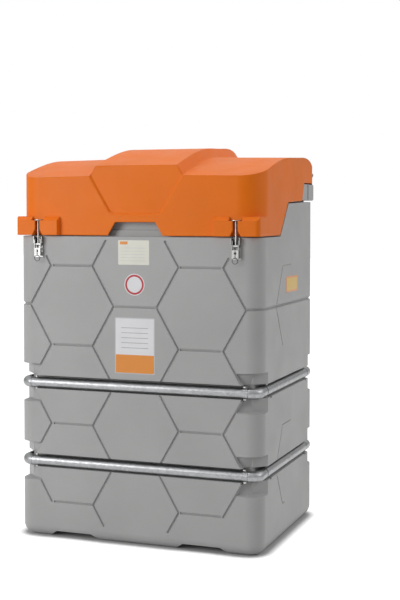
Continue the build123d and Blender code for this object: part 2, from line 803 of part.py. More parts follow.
def lid_hollow():
    """Inside of the lid, with pads left behind the front panel and the latch slots."""
    front = -HALF_DEPTH
    slot_back = front - BLOCK_PROUD + LID_WALL
    with BuildPart() as hollow:
        add(lid_form(LID_WALL))
        block(
            (-HUMP_BASE_HALF_WIDTH, HUMP_BASE_HALF_WIDTH),
            (front, front + PANEL_RECESS + LID_WALL),
            (PANEL_BOTTOM_Z - LID_WALL, LID_TOP + HUMP_RISE),
            Mode.SUBTRACT,
        )
        for side in (-1, 1):
            across(
                [
                    (front, LID_EDGE),
                    (slot_back + SLOT_DEPTH_BOTTOM, LID_EDGE),
                    (slot_back + SLOT_DEPTH_TOP + SLOT_PAD_EXTRA, BLOCK_LEDGE_TOP),
                    (front, BLOCK_LEDGE_TOP),
                ],
                SLOT_FLARE_WIDTH / 2 + LID_WALL,
                Mode.SUBTRACT,
                side * LATCH_X,
            )
    return hollow.part


def cut_grip_notch():
    """Notch in the lid's lower edge for the fingers that lift it."""
    along(
        [
            (-NOTCH_BOTTOM_HALF_WIDTH, LID_EDGE),
            (-NOTCH_TOP_HALF_WIDTH, NOTCH_TOP_Z),
            (NOTCH_TOP_HALF_WIDTH, NOTCH_TOP_Z),
            (NOTCH_BOTTOM_HALF_WIDTH, LID_EDGE),
        ],
        -HALF_DEPTH - OVERRUN,
        -HALF_DEPTH + NOTCH_REACH,
        Mode.SUBTRACT,
    )


def cut_latch_slot(x):
    """Slot for the latch rod, its flared mouth, and the flat seat of the keeper above it."""
    wall = -HALF_DEPTH
    face = wall - BLOCK_PROUD
    seat = KEEPER_WIDTH / 2 + KEEPER_SEAT_MARGIN
    bottom = LID_EDGE - OVERRUN
    seat_heights = (BLOCK_TOP, BLOCK_LEDGE_TOP + OVERRUN)
    block((x - seat, x + seat), (wall - BIG, wall), seat_heights, Mode.SUBTRACT)
    across(
        [
            (face - SLOT_CUT_REACH, bottom),
            (face + SLOT_DEPTH_BOTTOM, bottom),
            (face + SLOT_DEPTH_TOP, BLOCK_TOP + OVERRUN),
            (face - SLOT_CUT_REACH, BLOCK_TOP + OVERRUN),
        ],
        SLOT_WIDTH / 2,
        Mode.SUBTRACT,
        x,
    )
    along(
        [
            (x - SLOT_FLARE_WIDTH / 2, bottom),
            (x - SLOT_WIDTH / 2, LID_EDGE + SLOT_FLARE_HEIGHT),
            (x + SLOT_WIDTH / 2, LID_EDGE + SLOT_FLARE_HEIGHT),
            (x + SLOT_FLARE_WIDTH / 2, bottom),
        ],
        face - SLOT_CUT_REACH,
        face + SLOT_FLARE_DEPTH,
        Mode.SUBTRACT,
    )


def build_lid():
    """Orange shell with two wings and a raised middle."""
    with BuildPart() as lid:
        add(lid_form(0))
        add_latch_blocks()
        cut_front_panel()
        add(lid_hollow(), mode=Mode.SUBTRACT)
        add(lid_underside(), mode=Mode.SUBTRACT)
        cut_grip_notch()
        for side in (-1, 1):
            cut_latch_slot(side * LATCH_X)
    return lid.part


def build_keeper(x):
    """Lens-shaped plate on top of the latch block."""
    rear = -HALF_DEPTH
    with BuildPart() as keeper:
        with BuildSketch(Plane.XY.offset(BLOCK_TOP)) as plan:
            with BuildLine():
                half = KEEPER_WIDTH / 2
                Line((x - half, rear), (x + half, rear))
                ThreePointArc((x + half, rear), (x, rear - KEEPER_DEPTH), (x - half, rear))
            make_face()
        extrude(plan.sketch, amount=KEEPER_THICKNESS)
    return keeper.part


def build_latch_base(x):
    """Plate on the container with two ears and the stubs of the lever's pin."""
    with BuildPart() as base:
        half = BASE_WIDTH / 2
        back = -HALF_DEPTH
        block((x - half, x + half), (back - BASE_THICKNESS, back), (BASE_BOTTOM, BASE_TOP))
        for side in (-1, 1):
            ear = sorted((x + side * half, x + side * (half - BASE_THICKNESS)))
            block(
                ear,
                (LATCH_PIVOT_Y - LEVER_END_RADIUS, back),
                (LATCH_PIVOT_Z - BASE_EAR_BELOW_PIVOT, BASE_TOP),
            )
        for side in (-1, 1):
            inner_x = x + side * (LEVER_WIDTH / 2 - LEVER_THICKNESS)
            outer_x = x + side * (half + LATCH_PIN_PROUD)
            across_x(inner_x, outer_x, LATCH_PIVOT_Y, LATCH_PIVOT_Z, LATCH_PIN_DIAMETER)
    return base.part


def build_lever(x):
    """Pressed channel that turns on the base, with the pin that carries the rod."""
    half = LEVER_WIDTH / 2
    front = LATCH_PIVOT_Y - LEVER_END_RADIUS
    hole_z = (LEVER_BOTTOM + LEVER_WEB_TOP) / 2 + LEVER_HOLE_ABOVE_MIDDLE
    bore = LATCH_PIN_DIAMETER + LATCH_FIT
    with BuildPart() as lever:
        for side in (-1, 1):
            flange = sorted((x + side * half, x + side * (half - LEVER_THICKNESS)))
            block(flange, (front, LATCH_PIVOT_Y + LEVER_REAR), (LEVER_BOTTOM, LATCH_PIVOT_Z))
            across_x(*flange, LATCH_PIVOT_Y, LATCH_PIVOT_Z, 2 * LEVER_END_RADIUS)
        block((x - half, x + half), (front - LEVER_THICKNESS, front), (LEVER_BOTTOM, LEVER_WEB_TOP))
        start = x - half - OVERRUN
        end = x + half + OVERRUN
        across_x(start, end, LATCH_PIVOT_Y, LATCH_PIVOT_Z, bore, Mode.SUBTRACT)
        start = x - half - LATCH_PIN_PROUD
        end = x + half + LATCH_PIN_PROUD
        across_x(start, end, LATCH_PIVOT_Y, LATCH_ROD_PIVOT_Z, LATCH_PIN_DIAMETER)
        cylinder(
            (x, front - 2 * LEVER_THICKNESS, hole_z),
            (x, front + OVERRUN, hole_z),
            LEVER_HOLE_DIAMETER,
            Mode.SUBTRACT,
        )
    return lever.part


def build_rod(x):
    """Upright rod with an eye that turns on the lever's pin."""
    eye_half = LEVER_WIDTH / 2 - LEVER_THICKNESS - ROD_EYE_GAP
    start = x - eye_half
    end = x + eye_half
    bore = LATCH_PIN_DIAMETER + LATCH_FIT
    with BuildPart() as rod:
        across_x(start, end, LATCH_PIVOT_Y, LATCH_ROD_PIVOT_Z, ROD_EYE_DIAMETER)
        cylinder((x, LATCH_PIVOT_Y, LATCH_ROD_PIVOT_Z), (x, LATCH_PIVOT_Y, ROD_TOP), ROD_DIAMETER)
        across_x(start - OVERRUN, end + OVERRUN, LATCH_PIVOT_Y, LATCH_ROD_PIVOT_Z, bore, Mode.SUBTRACT)
    return rod.part


def build_pull_ring(x):
    """Wire ring that hangs in front of the lever."""
    with BuildPart() as ring:
        radius = (RING_DIAMETER - RING_WIRE) / 2
        centre_z = LEVER_BOTTOM - radius + RING_WIRE / 2
        y = LATCH_PIVOT_Y - LEVER_END_RADIUS - LEVER_THICKNESS - RING_WIRE / 2
        plane = Plane(origin=(x, y, centre_z), x_dir=(1, 0, 0), z_dir=(0, -1, 0))
        with Locations(plane.location):
            Torus(radius, RING_WIRE / 2)
    return ring.part


def knuckle_spans(x):
    """Pieces of the hinge barrel from left to right; the lid's leaf has the middle one."""
    step = HINGE_LENGTH / HINGE_KNUCKLES
    spans = []
    for index in range(HINGE_KNUCKLES):
        start = x - HINGE_LENGTH / 2 + index * step
        spans.append((start + HINGE_KNUCKLE_GAP / 2, start + step - HINGE_KNUCKLE_GAP / 2))
    return spans


def hinge_barrel(spans):
    """Round pieces of the barrel."""
    for start, end in spans:
        across_x(start, end, HINGE_AXIS_Y, HINGE_AXIS_Z, HINGE_KNUCKLE_DIAMETER)


def hinge_bore():
    """Hole for the pin, through the whole barrel."""
    bore = HINGE_PIN_DIAMETER + HINGE_FIT
    across_x(-BIG / 2, BIG / 2, HINGE_AXIS_Y, HINGE_AXIS_Z, bore, Mode.SUBTRACT)


def build_lower_leaf(x):
    """Leaf on the rail, with the outer knuckles."""
    with BuildPart() as leaf:
        spans = knuckle_spans(x)[::2]
        hinge_barrel(spans)
        for start, end in spans:
            block(
                (start, end),
                (RAIL_REAR_Y, RAIL_REAR_Y + HINGE_LEAF),
                (RAIL_BOTTOM + HINGE_LEAF_MARGIN, HINGE_AXIS_Z),
            )
        block(
            (x - HINGE_LENGTH / 2, x + HINGE_LENGTH / 2),
            (RAIL_REAR_Y, RAIL_REAR_Y + HINGE_LEAF),
            (RAIL_BOTTOM + HINGE_LEAF_MARGIN, RAIL_TOP - HINGE_LEAF_MARGIN / 2),
        )
        hinge_bore()
    return leaf.part


def build_upper_leaf(x):
    """Leaf on the lid's back, with the middle knuckle."""
    with BuildPart() as leaf:
        spans = knuckle_spans(x)[1::2]
        hinge_barrel(spans)
        for start, end in spans:
            block(
                (start, end),
                (HALF_DEPTH, HALF_DEPTH + HINGE_TONGUE),
                (HINGE_AXIS_Z - HINGE_TONGUE_BELOW, HINGE_AXIS_Z + HINGE_UPPER_LEAF_BOTTOM + OVERRUN),
            )
        block(
            (x - HINGE_UPPER_LEAF_LENGTH / 2, x + HINGE_UPPER_LEAF_LENGTH / 2),
            (HALF_DEPTH, HALF_DEPTH + HINGE_UPPER_LEAF),
            (HINGE_AXIS_Z + HINGE_UPPER_LEAF_BOTTOM, HINGE_AXIS_Z + HINGE_UPPER_LEAF_TOP),
        )
        hinge_bore()
    return leaf.part


def build_hinge_pin(x):
    """Pin of one hinge; it stands out a little at both ends."""
    half = HINGE_LENGTH / 2 + HINGE_PIN_PROUD
    with BuildPart() as pin:
        across_x(x - half, x + half, HINGE_AXIS_Y, HINGE_AXIS_Z, HINGE_PIN_DIAMETER)
    return pin.part


def bolt_spots():
    """Places in plan of the bolts of one ring."""
    spots = []
    for sx in (-1, 1):
        for sy in (-1, 1):
            spots.append((sx * (RING_HALF_WIDTH - FRONT_BOLT), sy * RING_HALF_DEPTH))
            spots.append((sx * RING_HALF_WIDTH, sy * (RING_HALF_DEPTH - SIDE_BOLT)))
    return spots


def bolt_holes(z):
    """Holes for the bolts of one ring."""
    hole = BOLT_DIAMETER + SPIGOT_FIT
    for x, y in bolt_spots():
        cylinder((x, y, z - TUBE_DIAMETER), (x, y, z + TUBE_DIAMETER), hole, Mode.SUBTRACT)


def build_tube(name, z):
    """One straight tube of a ring."""
    x = RING_HALF_WIDTH
    y = RING_HALF_DEPTH
    end_x = x - FRONT_JOINT - FRONT_JOINT_GAP / 2
    end_y = y - SIDE_JOINT - SIDE_JOINT_GAP / 2
    ends = {
        "front": ((-end_x, -y, z), (end_x, -y, z)),
        "rear": ((-end_x, y, z), (end_x, y, z)),
        "left": ((-x, -end_y, z), (-x, end_y, z)),
        "right": ((x, -end_y, z), (x, end_y, z)),
    }
    with BuildPart() as tube:
        cylinder(*ends[name], TUBE_DIAMETER)
        cylinder(*ends[name], TUBE_DIAMETER - 2 * TUBE_WALL, Mode.SUBTRACT)
        bolt_holes(z)
    return tube.part


def build_elbows(z):
    """Four corner elbows of a ring, with spigots that go into the tubes."""
    inner = TUBE_DIAMETER - 2 * TUBE_WALL - SPIGOT_FIT
    x = RING_HALF_WIDTH
    y = RING_HALF_DEPTH
    end_x = x - FRONT_JOINT + FRONT_JOINT_GAP / 2
    end_y = y - SIDE_JOINT + SIDE_JOINT_GAP / 2
    deep_x = x - FRONT_BOLT - SPIGOT_PAST_BOLT
    deep_y = y - SIDE_BOLT - SPIGOT_PAST_BOLT
    with BuildPart() as elbows:
        for sx in (-1, 1):
            for sy in (-1, 1):
                corner = (sx * x, sy * y, z)
                front_end = (sx * end_x, sy * y, z)
                side_end = (sx * x, sy * end_y, z)
                with BuildLine() as path:
                    Polyline(front_end, corner, side_end)
                    fillet(path.vertices().sort_by_distance(corner)[0], RING_BEND_RADIUS)
                with BuildSketch(Plane(origin=front_end, z_dir=(sx, 0, 0))) as round_section:
                    Circle(TUBE_RADIUS)
                sweep(round_section.sketch, path=path.line)
                cylinder(front_end, (sx * deep_x, sy * y, z), inner)
                cylinder(side_end, (sx * x, sy * deep_y, z), inner)
        bolt_holes(z)
    return elbows.part


def build_bolts(z):
    """Upright bolts of one ring, with a six-sided head above and a nut below."""
    with BuildPart() as bolts:
        for x, y in bolt_spots():
            cylinder((x, y, z - TUBE_RADIUS), (x, y, z + TUBE_RADIUS), BOLT_DIAMETER)
            for side in (-1, 1):
                low, high = sorted((side * TUBE_RADIUS, side * (TUBE_RADIUS + BOLT_HEAD_HEIGHT)))
                with BuildSketch(Plane.XY.offset(z + low)) as head:
                    with Locations((x, y)):
                        RegularPolygon(BOLT_HEAD_WIDTH / 2, 6, major_radius=False)
                extrude(head.sketch, amount=high - low)
    return bolts.part


def funnel_wall(radius_top, radius_neck, rim_z, neck_z, mode=Mode.ADD):
    """Cone between the funnel's neck and its rim."""
    with Locations((FUNNEL_X, FUNNEL_Y, (rim_z + neck_z) / 2)):
        Cone(radius_neck, radius_top, rim_z - neck_z, mode=mode)


def build_funnel():
    """Fill funnel with an upright rim, standing on the deck."""
    cone_bottom = DECK_TOP + FUNNEL_NECK_HEIGHT
    cone_top = cone_bottom + FUNNEL_CONE_HEIGHT
    rim_top = DECK_TOP + FUNNEL_HEIGHT
    outer = FUNNEL_DIAMETER / 2
    neck = FUNNEL_NECK_DIAMETER / 2
    inner = outer - FUNNEL_WALL
    bore = neck - FUNNEL_WALL
    x, y = FUNNEL_X, FUNNEL_Y
    with BuildPart() as funnel:
        cylinder((x, y, DECK_TOP), (x, y, cone_bottom), 2 * neck)
        funnel_wall(outer, neck, cone_top, cone_bottom)
        cylinder((x, y, cone_top), (x, y, rim_top), 2 * outer)
        funnel_wall(inner, bore, cone_top, cone_bottom, Mode.SUBTRACT)
        cylinder((x, y, cone_top), (x, y, rim_top + OVERRUN), 2 * inner, Mode.SUBTRACT)
        cylinder((x, y, DECK_TOP - OVERRUN), (x, y, cone_bottom), 2 * bore, Mode.SUBTRACT)
    return funnel.part


def build_strainer():
    """Perforated plate that lies in the funnel's cone."""
    slope = (FUNNEL_DIAMETER - FUNNEL_NECK_DIAMETER) / 2 / FUNNEL_CONE_HEIGHT
    height = (STRAINER_DIAMETER / 2 - FUNNEL_NECK_DIAMETER / 2 + FUNNEL_WALL) / slope
    x, y = FUNNEL_X, FUNNEL_Y
    z = DECK_TOP + FUNNEL_NECK_HEIGHT + height + STRAINER_FIT
    with BuildPart() as strainer:
        cylinder((x, y, z), (x, y, z + STRAINER_THICKNESS), STRAINER_DIAMETER)
        for count, radius in STRAINER_HOLES:
            with Locations((x, y, z)):
                with PolarLocations(radius, count):
                    Cylinder(STRAINER_HOLE_DIAMETER / 2, 3 * STRAINER_THICKNESS, mode=Mode.SUBTRACT)
    return strainer.part


def turned_steps(place, steps):
    """Round steps on top of each other, from the deck upwards."""
    x, y = place
    z = DECK_TOP
    for height, diameter in steps:
        cylinder((x, y, z), (x, y, z + height), diameter)
        z += height


def build_fitting(place, steps):
    """Turned fitting on the deck."""
    with BuildPart() as fitting:
        turned_steps(place, steps)
    return fitting.part


def build_suction():
    """Suction coupling with a cap and two cam arms."""
    x, y = SUCTION_PLACE
    thick, wide, tall = SUCTION_ARM
    cap_radius = SUCTION_STEPS[-1][1] / 2
    arm_z = DECK_TOP + SUCTION_ARM_BOTTOM
    with BuildPart() as suction:
        turned_steps(SUCTION_PLACE, SUCTION_STEPS)
        for side in (-1, 1):
            inner_x = x + side * (cap_radius - SUCTION_ARM_SUNK)
            outer_x = inner_x + side * thick
            block(sorted((inner_x, outer_x)), (y - wide / 2, y + wide / 2), (arm_z, arm_z + tall))
    return suction.part


def save(name, part):
    """Writes one node's file."""
    part.label = name
    export_step(part, f"parts/{name}.step")


def main():
    """Builds every node and writes its file."""
    os.makedirs("parts", exist_ok=True)
    save("outer_container", build_container())
    save("inner_tank", build_tank())
    save("inner_tank_deck", build_deck())
    save("hinge_rail", build_rail())
    save("lid_shell", build_lid())
    for name, x in (("left", -1), ("right", 1)):
        save(f"keeper_{name}", build_keeper(x * LATCH_X))
        save(f"latch_base_{name}", build_latch_base(x * LATCH_X))
        save(f"latch_lever_{name}", build_lever(x * LATCH_X))
        save(f"latch_rod_{name}", build_rod(x * LATCH_X))
        save(f"latch_pull_ring_{name}", build_pull_ring(x * LATCH_X))
        save(f"hinge_lower_leaf_{name}", build_lower_leaf(x * HINGE_X))
        save(f"hinge_upper_leaf_{name}", build_upper_leaf(x * HINGE_X))
        save(f"hinge_pin_{name}", build_hinge_pin(x * HINGE_X))
    for ring, k in RING_LEVELS.items():
        for side in ("front", "rear", "left", "right"):
            save(f"{ring}_ring_{side}_tube", build_tube(side, level(k)))
        save(f"{ring}_ring_elbows", build_elbows(level(k)))
        save(f"{ring}_ring_bolts", build_bolts(level(k)))
    save("fill_funnel", build_funnel())
    save("funnel_strainer", build_strainer())
    save("level_gauge", build_fitting(GAUGE_PLACE, GAUGE_STEPS))
    save("suction_coupling", build_suction())
    save("vent_cap", build_fitting(VENT_PLACE, VENT_STEPS))
    save("leak_indicator", build_fitting(LEAK_GAUGE_PLACE, LEAK_GAUGE_STEPS))


main()
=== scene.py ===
"""Looks of the waste oil tank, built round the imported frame. Metres, +Z up, the front faces -Y."""

import json

from functools import cache
from math import cos, pi, radians, sin

import bmesh
import bpy
from mathutils import Matrix, Vector


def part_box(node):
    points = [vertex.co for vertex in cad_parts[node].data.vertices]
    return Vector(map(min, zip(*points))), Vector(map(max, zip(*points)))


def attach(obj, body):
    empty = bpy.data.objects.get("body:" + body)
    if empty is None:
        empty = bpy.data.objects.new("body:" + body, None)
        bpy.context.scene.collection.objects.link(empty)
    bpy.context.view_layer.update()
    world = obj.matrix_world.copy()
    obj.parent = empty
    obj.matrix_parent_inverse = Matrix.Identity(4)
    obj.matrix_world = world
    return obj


# Directions that the prints, the rivets and the screws lie along or look in.
RIGHTWARDS = (1, 0, 0)
FORWARDS = (0, -1, 0)
BACKWARDS = (0, 1, 0)
UPWARDS = (0, 0, 1)

# A print is a thin plate of this thickness. Prints on top of each other lie one thickness apart.
STICKER = 0.0004

# Upper label on the front, with a small field near its top left corner and ruled lines.
UPPER_LABEL_X = (-0.081, 0.067)
UPPER_LABEL_Z = (1.243, 1.351)
UPPER_LABEL_CORNER = 0.004
UPPER_FIELD_SIZE = (0.036, 0.013)
UPPER_FIELD_INSET = (0.027, 0.012)
UPPER_FIELD_CORNER = 0.001
UPPER_RULE_SIZE = (0.118, 0.0012)
UPPER_RULE_INSET = (0.012, 0.034)
UPPER_RULE_CORNER = 0.0003
UPPER_RULE_STEP = 0.014
UPPER_RULES = 5

# Round sign on the front: x and z of its middle, its radius, and the inner and outer radius of its rim.
SIGN_MIDDLE = (-0.003, 1.156)
SIGN_RADIUS = 0.048
SIGN_RIM_INNER = 0.0355
SIGN_RIM_OUTER = 0.044

# Lower label on the front: a pale sheet, a white face on it, and a field and ruled lines on the face.
LOWER_LABEL_X = (-0.097, 0.093)
LOWER_LABEL_Z = (0.762, 1.010)
LOWER_LABEL_CORNER = 0.005
LOWER_FACE_BORDER = 0.004
LOWER_FACE_CORNER = 0.003
LOWER_FIELD_HEIGHT = 0.080
LOWER_FIELD_MIDDLE = 0.044
LOWER_RULE_SIZE = (0.128, 0.0022)
LOWER_RULE_CORNER = 0.0005
LOWER_RULE_TOP = 0.045
LOWER_RULE_STEP = 0.022
LOWER_RULES = 5

# Badge on the right side, with a field on it.
SIDE_BADGE_Y = (-0.050, 0.138)
SIDE_BADGE_Z = (1.111, 1.182)
SIDE_BADGE_CORNER = 0.004
SIDE_FIELD_BORDER = (0.009, 0.008)
SIDE_FIELD_CORNER = 0.003

# Heads of rivets and screws: radius and height, and their profile as shares of both.
LATCH_RIVET = (0.003, 0.0015)
HINGE_SCREW = (0.006, 0.003)
LID_SCREW = (0.0042, 0.002)
HEAD_PROFILE = ((1.0, 0.0), (1.0, 0.35), (0.86, 0.75), (0.55, 1.0))
HEAD_STEPS = 20

# Thickness of the frame's plates that the heads stand on, and the places of the heads on them.
LATCH_PLATE = 0.002
RIVETS_ACROSS = (-0.0095, 0.0095)
RIVETS_BELOW_TOP = (0.0065, 0.0455)
LOWER_LEAF = 0.003
HINGE_SCREWS_ACROSS = (-0.065, -0.022, 0.022, 0.065)
HINGE_SCREWS_ABOVE_FOOT = 0.027
UPPER_LEAF = 0.002
LID_SCREWS_ACROSS = (-0.052, 0.052)
LID_SCREWS_BELOW_TOP = 0.006

# Slots in the latch levers, drawn as black plates of painted shade, as heights above the lever's lower
# end.
LEVER_SLOTS = {"upper": (0.0275, 0.0325), "lower": (0.0035, 0.0155)}
LEVER_SLOT_WIDTH = 0.0036
LEVER_SLOT_CORNER = 0.0015

# Dial of the level gauge. Angles are in degrees from +X.
DIAL_RADIUS = 0.029
DIAL_START = 225
DIAL_TURN = 270
DIAL_MARKS = 9
DIAL_MARK_SIZE = (0.006, 0.0016)
DIAL_MARK_CORNER = 0.0004
DIAL_MARK_DISTANCE = 0.0235
NEEDLE_SIZE = (0.026, 0.002)
NEEDLE_CORNER = 0.0008
NEEDLE_DISTANCE = 0.007
NEEDLE_ANGLE = 160

# Ranges that the materials stretch a noise or a mask from or to.
WHOLE = (0.0, 1.0)
SPREAD = (0.3, 0.7)
PATCHES = (0.35, 0.7)

# Sockets of the mix node for colours, which share their names with other kinds of socket.
COLOUR_A = 6
COLOUR_B = 7
COLOUR_RESULT = 2

# Reach of the painted shadow under the object, of the painted shade in narrow corners of metal, and of
# wear on plastic edges.
CONTACT_REACH = 0.055
CREVICE_REACH = 0.015
WORN_EDGE = 0.0022

# Openness between which metal goes from painted shade to its own colour, and the ground from painted
# shadow to its full glow.
CREVICE_RANGE = (0.35, 0.85)
CONTACT_RANGE = (0.5, 0.95)

# Worn edges of plastic: cosine of the edge's turn from even ground to full wear, and the pale tint.
EDGE_COSINES = (0.995, 0.93)
WORN_GREY = 0.75
WORN_SHARE = 0.35

# Floor: half its width, its grey and roughness, and its glow as the camera sees it.
FLOOR_HALF = 30.0
FLOOR_GREY = 0.60
FLOOR_ROUGHNESS = 0.9
FLOOR_GLOW = 0.90

# World: light on surfaces, and how reflections brighten from the horizon upwards.
AMBIENT = 0.34
HORIZON = 0.5
HORIZON_RISE = (0.05, 0.6)

# Soft boxes: place, width and power. They all look at one point.
SOFT_BOXES = {
    "key_left": ((-3.2, -4.6, 2.4), 2.6, 137),
    "side_right": ((4.6, 0.4, 3.4), 2.6, 58),
    "overhead": ((-0.4, -0.2, 5.2), 3.0, 58),
}
LIGHT_TARGET = (0, 0, 0.9)

# Camera, from the fit to the honeycomb lines of the photograph. Focus and shift are in its pixels.
CAMERA_PLACE = (2.08252, -5.22937, 1.48385)
CAMERA_YAW = 0.35459
CAMERA_PITCH = 0.03355
CAMERA_FOCUS = 1193.07
CAMERA_SHIFT = -50
FRAME_HEIGHT = 600
SENSOR_WIDTH = 36


@cache
def node_box(node):
    """Lowest and highest corner of a node of the frame, which is read once."""
    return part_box(node)


def middle_and_length(limits):
    """Middle and length of the stretch between two limits."""
    low, high = limits
    return (low + high) / 2, high - low


def node_tree(name):
    """New material: its nodes, its links and its principled shader."""
    material = bpy.data.materials.new(name)
    material.use_nodes = True
    nodes = material.node_tree.nodes
    shader = next(node for node in nodes if node.type == "BSDF_PRINCIPLED")
    return material, nodes, material.node_tree.links, shader


def place(nodes, links, stretch=(1, 1, 1)):
    """Coordinates on the piece itself, so that the pattern moves with it."""
    source = nodes.new("ShaderNodeTexCoord")
    mapping = nodes.new("ShaderNodeMapping")
    mapping.inputs["Scale"].default_value = stretch
    links.new(source.outputs["Object"], mapping.inputs["Vector"])
    return mapping.outputs["Vector"]


def noise(nodes, links, where, scale, detail, roughness=0.5):
    """Value of a soft noise."""
    texture = nodes.new("ShaderNodeTexNoise")
    texture.inputs["Scale"].default_value = scale
    texture.inputs["Detail"].default_value = detail
    texture.inputs["Roughness"].default_value = roughness
    links.new(where, texture.inputs["Vector"])
    return texture.outputs["Fac"]


def remap(nodes, links, value, source, target):
    """Value moved from one range to another."""
    node = nodes.new("ShaderNodeMapRange")
    node.inputs["From Min"].default_value = source[0]
    node.inputs["From Max"].default_value = source[1]
    node.inputs["To Min"].default_value = target[0]
    node.inputs["To Max"].default_value = target[1]
    links.new(value, node.inputs["Value"])
    return node.outputs["Result"]


def combine(nodes, links, operation, first, second):
    """Sum, product or larger one of two values."""
    node = nodes.new("ShaderNodeMath")
    node.operation = operation
    links.new(first, node.inputs[0])
    links.new(second, node.inputs[1])
    return node.outputs[0]


def blend_colours(nodes, links, factor, first, second):
    """Colour between two others, each a colour or an output."""
    node = nodes.new("ShaderNodeMix")
    node.data_type = "RGBA"
    links.new(factor, node.inputs["Factor"])
    for socket, colour in ((node.inputs[COLOUR_A], first), (node.inputs[COLOUR_B], second)):
        if isinstance(colour, tuple):
            socket.default_value = (*colour, 1)
        else:
            links.new(colour, socket)
    return node.outputs[COLOUR_RESULT]


def bump(nodes, links, height, distance, below=None):
    """Relief of a given depth in metres, on top of another relief."""
    node = nodes.new("ShaderNodeBump")
    node.inputs["Strength"].default_value = 1.0
    node.inputs["Distance"].default_value = distance
    links.new(height, node.inputs["Height"])
    if below is not None:
        links.new(below, node.inputs["Normal"])
    return node.outputs["Normal"]


def shade(colour, amount):
    """Lighter or darker colour."""
    return tuple(min(1.0, part * amount) for part in colour)


def rounded_normal(nodes, radius, samples):
    """Normal that turns smoothly over sharp edges."""
    rounded = nodes.new("ShaderNodeBevel")
    rounded.samples = samples
    rounded.inputs["Radius"].default_value = radius
    return rounded.outputs["Normal"]


def openness(nodes, reach, samples):
    """One on open ground, towards zero in hollows that are narrower than the reach."""
    hollow = nodes.new("ShaderNodeAmbientOcclusion")
    hollow.samples = samples
    hollow.inputs["Distance"].default_value = reach
    return hollow.outputs["AO"]


def edge_mask(nodes, links, radius):
    """White on sharp edges, black on even ground."""
    ground = nodes.new("ShaderNodeNewGeometry")
    product = nodes.new("ShaderNodeVectorMath")
    product.operation = "DOT_PRODUCT"
    links.new(rounded_normal(nodes, radius, samples=4), product.inputs[0])
    links.new(ground.outputs["Normal"], product.inputs[1])
    return remap(nodes, links, product.outputs["Value"], EDGE_COSINES, WHOLE)


def moulded_plastic(
    name,
    colour,
    roughness,
    grain=0.00006,
    wave=0.0009,
    wear=0.25,
    soft_edge=0.003,
    shine=0.5,
):
    """Rotationally moulded plastic: faint cloudiness, fine grain, uneven gloss, soft and paler edges."""
    material, nodes, links, shader = node_tree(name)
    where = place(nodes, links)

    # Colour: clouds, dark specks, and pale edges where it is worn.
    clouds = noise(nodes, links, where, scale=4.0, detail=4.0)
    clouds = remap(nodes, links, clouds, SPREAD, WHOLE)
    tint = blend_colours(nodes, links, clouds, shade(colour, 0.955), shade(colour, 1.04))
    specks = noise(nodes, links, where, scale=420.0, detail=2.0)
    specks = remap(nodes, links, specks, (0.35, 0.75), (0.0, 0.16))
    tint = blend_colours(nodes, links, specks, tint, shade(colour, 0.72))
    scuffs = noise(nodes, links, where, scale=30.0, detail=4.0)
    scuffs = remap(nodes, links, scuffs, (0.35, 0.65), (0.0, wear))
    worn = combine(nodes, links, "MULTIPLY", edge_mask(nodes, links, WORN_EDGE), scuffs)
    pale = tuple(part + (WORN_GREY - part) * WORN_SHARE for part in colour)
    tint = blend_colours(nodes, links, worn, tint, pale)
    links.new(tint, shader.inputs["Base Color"])

    # Gloss.
    gloss = noise(nodes, links, where, scale=9.0, detail=5.0, roughness=0.6)
    gloss = remap(nodes, links, gloss, SPREAD, (roughness - 0.05, roughness + 0.06))
    links.new(gloss, shader.inputs["Roughness"])
    shader.inputs["IOR"].default_value = 1.5
    shader.inputs["Specular IOR Level"].default_value = shine

    # Relief: broad waves and fine grain over soft edges.
    relief = rounded_normal(nodes, soft_edge, samples=6)
    relief = bump(nodes, links, noise(nodes, links, where, scale=7.0, detail=2.0), wave, relief)
    fine = noise(nodes, links, where, scale=650.0, detail=2.0, roughness=0.6)
    relief = bump(nodes, links, fine, grain, relief)
    links.new(relief, shader.inputs["Normal"])
    return material


def milky_plastic(name, colour):
    """Unpigmented plastic of the inner tank."""
    material, nodes, links, shader = node_tree(name)
    where = place(nodes, links)
    clouds = noise(nodes, links, where, scale=6.0, detail=4.0)
    tint = remap(nodes, links, clouds, SPREAD, WHOLE)
    tint = blend_colours(nodes, links, tint, shade(colour, 0.92), colour)
    links.new(tint, shader.inputs["Base Color"])
    gloss = remap(nodes, links, clouds, SPREAD, (0.38, 0.5))
    links.new(gloss, shader.inputs["Roughness"])
    relief = bump(nodes, links, noise(nodes, links, where, scale=9.0, detail=2.0), 0.0008)
    links.new(relief, shader.inputs["Normal"])
    shader.inputs["Subsurface Weight"].default_value = 0.12
    shader.inputs["Subsurface Radius"].default_value = (0.02, 0.018, 0.014)
    return material


def galvanised(name):
    """Hot-dip zinc: crystal flowers of uneven brightness, with a soft gloss."""
    material, nodes, links, shader = node_tree(name)
    where = place(nodes, links)
    flowers = nodes.new("ShaderNodeTexVoronoi")
    flowers.inputs["Scale"].default_value = 105.0
    links.new(where, flowers.inputs["Vector"])
    tone = nodes.new("ShaderNodeSeparateColor")
    links.new(flowers.outputs["Color"], tone.inputs["Color"])
    tint = blend_colours(nodes, links, tone.outputs["Red"], (0.25, 0.253, 0.26), (0.33, 0.334, 0.34))
    bloom = noise(nodes, links, where, scale=14.0, detail=4.0)
    bloom = remap(nodes, links, bloom, (0.45, 0.75), (0.0, 0.35))
    tint = blend_colours(nodes, links, bloom, tint, (0.38, 0.384, 0.388))
    links.new(tint, shader.inputs["Base Color"])
    shader.inputs["Metallic"].default_value = 1.0
    gloss = remap(nodes, links, tone.outputs["Green"], WHOLE, (0.30, 0.44))
    links.new(gloss, shader.inputs["Roughness"])
    relief = bump(nodes, links, noise(nodes, links, where, scale=60.0, detail=3.0), 0.0004)
    links.new(relief, shader.inputs["Normal"])
    return material


